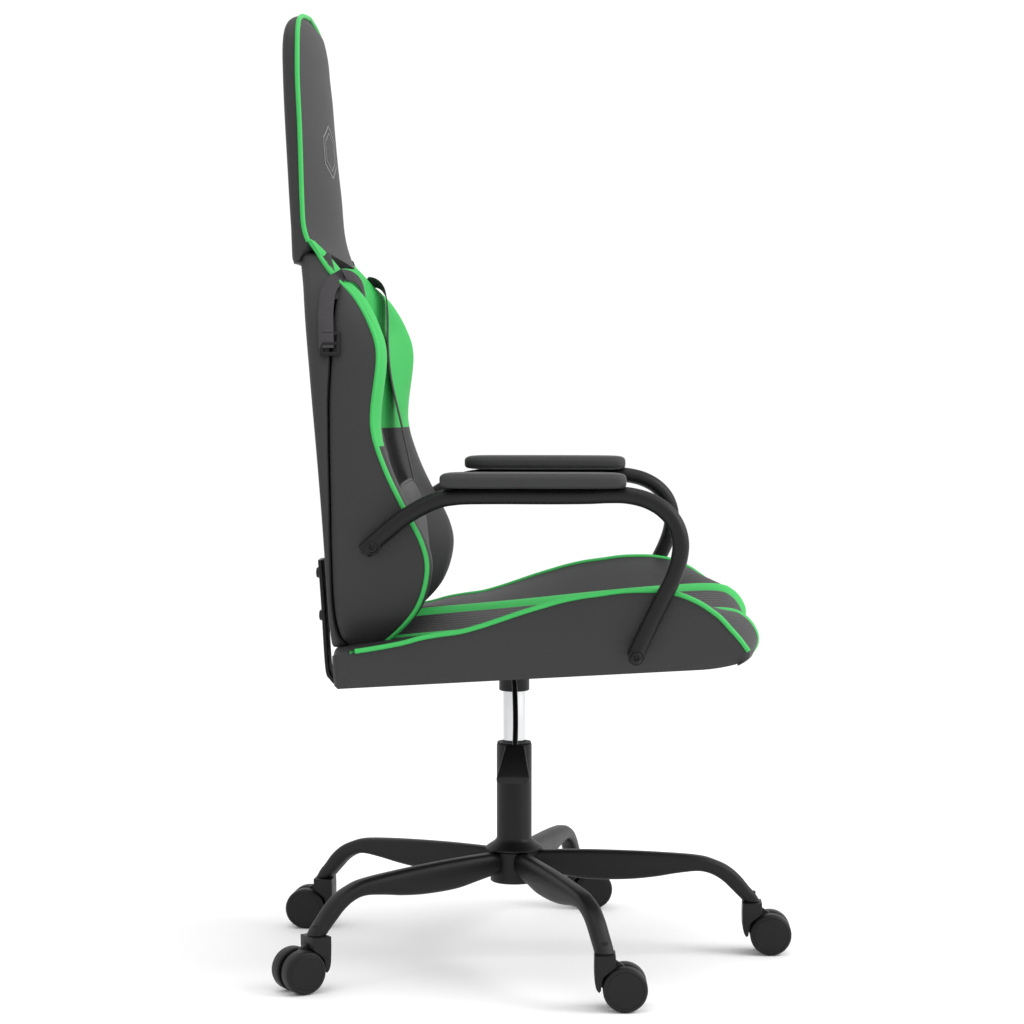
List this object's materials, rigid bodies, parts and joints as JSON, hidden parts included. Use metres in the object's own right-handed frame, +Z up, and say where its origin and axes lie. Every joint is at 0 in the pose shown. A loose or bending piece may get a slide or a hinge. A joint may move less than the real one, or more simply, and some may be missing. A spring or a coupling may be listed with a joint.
{
  "type": "gaming chair",
  "caption": "High-back gaming chair with side wings, head cap and lumbar pillow, loop armrests, gas lift and a star base on twin-wheel casters.",
  "frame": {"origin": "on the floor, at the centre of the chair's bounding box", "axes": "+Z up; the chair faces -Y; its right-hand side is -X"},
  "size_m": [0.6224, 0.6559, 1.171],
  "materials": {
    "black_steel": "satin black powder coat",
    "black_nylon": "moulded black nylon",
    "pad_foam": "black polyurethane skin",
    "bright_chrome": "polished",
    "plain_steel": "zinc plated",
    "black_leatherette": "black artificial leather with green panels and green piping",
    "strap_webbing": "elastic black webbing",
    "plywood": "raw, under the upholstery"
  },
  "bodies": {
    "base": {"base_hub": "black_steel", "base_leg_1": "black_steel", "base_leg_2": "black_steel", "base_leg_3": "black_steel", "base_leg_4": "black_steel", "base_leg_5": "black_steel", "lift_outer_tube": "black_steel", "lift_guide_bush": "black_nylon", "lift_thrust_bearing": "plain_steel"},
    "gas_spring_rod": {"lift_piston_rod": "plain_steel"},
    "seat": {"gas_cylinder": "bright_chrome", "seat_plate": "black_steel", "seat_board": "plywood", "seat_cushion": "black_leatherette", "seat_bolster_left": "black_leatherette", "seat_bolster_right": "black_leatherette", "back_board": "plywood", "back_rear_cover": "black_leatherette", "back_cushion": "black_leatherette", "back_wing_left": "black_leatherette", "back_wing_right": "black_leatherette", "head_cap": "black_leatherette", "lumbar_pillow": "black_leatherette", "pillow_strap_left": "strap_webbing", "pillow_strap_right": "strap_webbing", "back_bracket_left": "black_steel", "back_bracket_right": "black_steel", "arm_tube_left": "black_steel", "arm_tube_right": "black_steel", "arm_pad_left": "pad_foam", "arm_pad_right": "pad_foam"},
    "release_valve": {"release_pin": "plain_steel"},
    "height_lever": {"lever_rod": "black_steel", "lever_paddle": "black_nylon"},
    "caster_1": {"caster_stem_1": "plain_steel", "caster_hood_1": "black_nylon", "caster_axle_1": "plain_steel"},
    "wheel_1a": {"caster_wheel_1a": "black_nylon"},
    "wheel_1b": {"caster_wheel_1b": "black_nylon"},
    "caster_2": {"caster_stem_2": "plain_steel", "caster_hood_2": "black_nylon", "caster_axle_2": "plain_steel"},
    "wheel_2a": {"caster_wheel_2a": "black_nylon"},
    "wheel_2b": {"caster_wheel_2b": "black_nylon"},
    "caster_3": {"caster_stem_3": "plain_steel", "caster_hood_3": "black_nylon", "caster_axle_3": "plain_steel"},
    "wheel_3a": {"caster_wheel_3a": "black_nylon"},
    "wheel_3b": {"caster_wheel_3b": "black_nylon"},
    "caster_4": {"caster_stem_4": "plain_steel", "caster_hood_4": "black_nylon", "caster_axle_4": "plain_steel"},
    "wheel_4a": {"caster_wheel_4a": "black_nylon"},
    "wheel_4b": {"caster_wheel_4b": "black_nylon"},
    "caster_5": {"caster_stem_5": "plain_steel", "caster_hood_5": "black_nylon", "caster_axle_5": "plain_steel"},
    "wheel_5a": {"caster_wheel_5a": "black_nylon"},
    "wheel_5b": {"caster_wheel_5b": "black_nylon"}
  },
  "joints": [
    {"name": "seat_swivel", "type": "hinge", "parent": "base", "child": "gas_spring_rod", "pos_m": [-0.011, 0.021, 0.1], "axis": [0, 0, 1], "continuous": true},
    {"name": "seat_height", "type": "slide", "parent": "gas_spring_rod", "child": "seat", "axis": [0, 0, 1], "range_m": [-0.062, 0.033]},
    {"name": "height_lever_lift", "type": "hinge", "parent": "seat", "child": "height_lever", "pos_m": [-0.029, 0.021, 0.3682], "axis": [0, 1, 0], "range_deg": [0, 8], "stiffness_Nm_per_rad": 4},
    {"name": "release_pin_press", "type": "slide", "parent": "seat", "child": "release_valve", "axis": [0, 0, 1], "range_m": [-0.0026, 0], "stiffness_N_per_m": 200},
    {"name": "caster_1_swivel", "type": "hinge", "parent": "base", "child": "caster_1", "pos_m": [0.01254, -0.27808, 0.07], "axis": [0, 0, 1], "continuous": true},
    {"name": "wheel_1a_roll", "type": "hinge", "parent": "caster_1", "child": "wheel_1a", "pos_m": [0.01254, -0.30208, 0.02578], "axis": [1, 0, 0], "continuous": true},
    {"name": "wheel_1b_roll", "type": "hinge", "parent": "caster_1", "child": "wheel_1b", "pos_m": [0.01254, -0.30208, 0.02578], "axis": [1, 0, 0], "continuous": true},
    {"name": "caster_2_swivel", "type": "hinge", "parent": "base", "child": "caster_2", "pos_m": [0.28071, -0.04903, 0.07], "axis": [0, 0, 1], "continuous": true},
    {"name": "wheel_2a_roll", "type": "hinge", "parent": "caster_2", "child": "wheel_2a", "pos_m": [0.2857, -0.07251, 0.02578], "axis": [0.9781, 0.2079, 0], "continuous": true},
    {"name": "wheel_2b_roll", "type": "hinge", "parent": "caster_2", "child": "wheel_2b", "pos_m": [0.2857, -0.07251, 0.02578], "axis": [0.9781, 0.2079, 0], "continuous": true},
    {"name": "caster_3_swivel", "type": "hinge", "parent": "base", "child": "caster_3", "pos_m": [0.14575, 0.27679, 0.07], "axis": [0, 0, 1], "continuous": true},
    {"name": "wheel_3a_roll", "type": "hinge", "parent": "caster_3", "child": "wheel_3a", "pos_m": [0.14784, 0.3007, 0.02578], "axis": [-0.9962, 0.0872, 0], "continuous": true},
    {"name": "wheel_3b_roll", "type": "hinge", "parent": "caster_3", "child": "wheel_3b", "pos_m": [0.14784, 0.3007, 0.02578], "axis": [-0.9962, 0.0872, 0], "continuous": true},
    {"name": "caster_4_swivel", "type": "hinge", "parent": "base", "child": "caster_4", "pos_m": [-0.20583, 0.24912, 0.07], "axis": [0, 0, 1], "continuous": true},
    {"name": "wheel_4a_roll", "type": "hinge", "parent": "caster_4", "child": "wheel_4a", "pos_m": [-0.21926, 0.26902, 0.02578], "axis": [-0.829, -0.5592, 0], "continuous": true},
    {"name": "wheel_4b_roll", "type": "hinge", "parent": "caster_4", "child": "wheel_4b", "pos_m": [-0.21926, 0.26902, 0.02578], "axis": [-0.829, -0.5592, 0], "continuous": true},
    {"name": "caster_5_swivel", "type": "hinge", "parent": "base", "child": "caster_5", "pos_m": [-0.28816, -0.09381, 0.07], "axis": [0, 0, 1], "continuous": true},
    {"name": "wheel_5a_roll", "type": "hinge", "parent": "caster_5", "child": "wheel_5a", "pos_m": [-0.28733, -0.11779, 0.02578], "axis": [0.9994, 0.0349, 0], "continuous": true},
    {"name": "wheel_5b_roll", "type": "hinge", "parent": "caster_5", "child": "wheel_5b", "pos_m": [-0.28733, -0.11779, 0.02578], "axis": [0.9994, 0.0349, 0], "continuous": true}
  ],
  "couplings": [
    {"joint": "release_pin_press", "follows": "height_lever_lift", "m_per_rad": -0.018}
  ]
}
